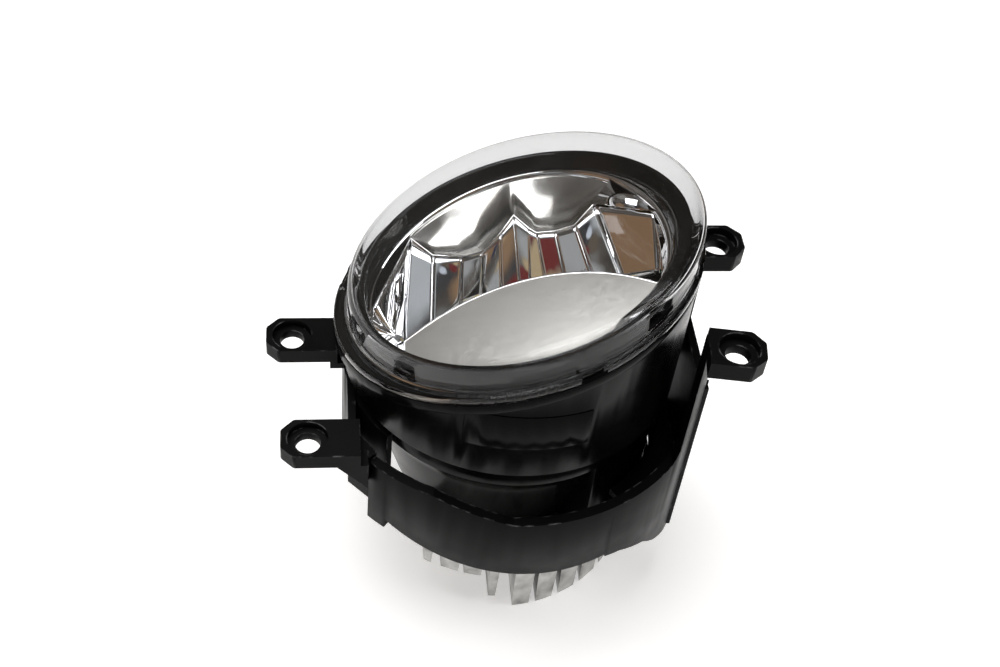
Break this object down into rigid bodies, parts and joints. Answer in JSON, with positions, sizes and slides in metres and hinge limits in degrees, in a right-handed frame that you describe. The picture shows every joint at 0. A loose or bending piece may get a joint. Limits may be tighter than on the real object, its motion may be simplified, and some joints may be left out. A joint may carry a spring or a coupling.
{
  "type": "led fog light",
  "caption": "Round LED fog light with a slanted clear lens, two-cup chromed reflector, finned heat sink and an eared bracket whose aiming screw tilts the lamp.",
  "frame": {"origin": "on the lamp's axis, at the middle of the sloping lens flange's top face", "axes": "+Z out of the lens, along the four ear holes; +X across the ears, towards the higher pair; +Y towards the aiming screw"},
  "size_m": [0.1281, 0.1138, 0.1261],
  "materials": {
    "clear_lens": "clear moulded polycarbonate, hard-coated, glossy",
    "sealant": "cured black sealant",
    "gloss_black": "glossy black moulded plastic",
    "reflector_chrome": "vacuum-metallised bright mirror over moulded plastic",
    "satin_silver": "satin metallised silver over moulded plastic",
    "zinc_steel": "zinc-plated steel",
    "board_white": "white solder mask on an aluminium-core board",
    "led_yellow": "yellow phosphor under a clear dome",
    "pad_grey": "grey thermal pad",
    "housing_black": "semi-gloss black glass-filled plastic",
    "soft_black": "soft black rubber",
    "cast_aluminium": "bare die-cast aluminium",
    "board_green": "green solder mask on glass-fibre board",
    "component_grey": "dark electronic components",
    "ribbon_white": "white flat flexible lead",
    "brass_pins": "tin-bright brass terminals",
    "bracket_black": "satin black glass-filled plastic with scuffed edges",
    "bush_white": "natural acetal"
  },
  "bodies": {
    "bracket": {"mounting_bracket": "bracket_black", "pivot_bushes": "bush_white"},
    "lamp": {"outer_lens": "clear_lens", "lens_seal": "sealant", "inner_bezel": "gloss_black", "reflector": "reflector_chrome", "reflector_screws": "zinc_steel", "shelf_cover": "satin_silver", "led_board": "board_white", "led_chips": "led_yellow", "thermal_pad": "pad_grey", "board_screws": "zinc_steel", "lamp_housing": "housing_black", "breather_cap": "soft_black", "heat_sink": "cast_aluminium", "heat_sink_gasket": "soft_black", "heat_sink_screws": "zinc_steel", "driver_board": "board_green", "driver_components": "component_grey", "driver_screws": "zinc_steel", "led_ribbon": "ribbon_white", "connector_socket": "bracket_black", "connector_pins": "brass_pins", "connector_seal": "soft_black", "pivot_screws": "zinc_steel"},
    "aim_screw": {"aim_screw": "zinc_steel", "aim_screw_clip": "zinc_steel"},
    "aim_nut": {"aim_nut": "bush_white"}
  },
  "joints": [
    {"name": "aim_tilt", "type": "hinge", "parent": "bracket", "child": "lamp", "pos_m": [0, 0.012, -0.04], "axis": [1, 0, 0], "range_deg": [-3, 3]},
    {"name": "aim_screw_turn", "type": "hinge", "parent": "bracket", "child": "aim_screw", "pos_m": [0, 0.0508, -0.045], "axis": [0, 0, 1], "range_deg": [-490, 490]},
    {"name": "aim_nut_slide", "type": "slide", "parent": "bracket", "child": "aim_nut", "axis": [0, 0, 1], "range_m": [-0.00205, 0.00205]}
  ],
  "couplings": [
    {"joint": "aim_screw_turn", "follows": "aim_tilt", "ratio": 162.53},
    {"joint": "aim_nut_slide", "follows": "aim_tilt", "m_per_rad": 0.0388}
  ]
}
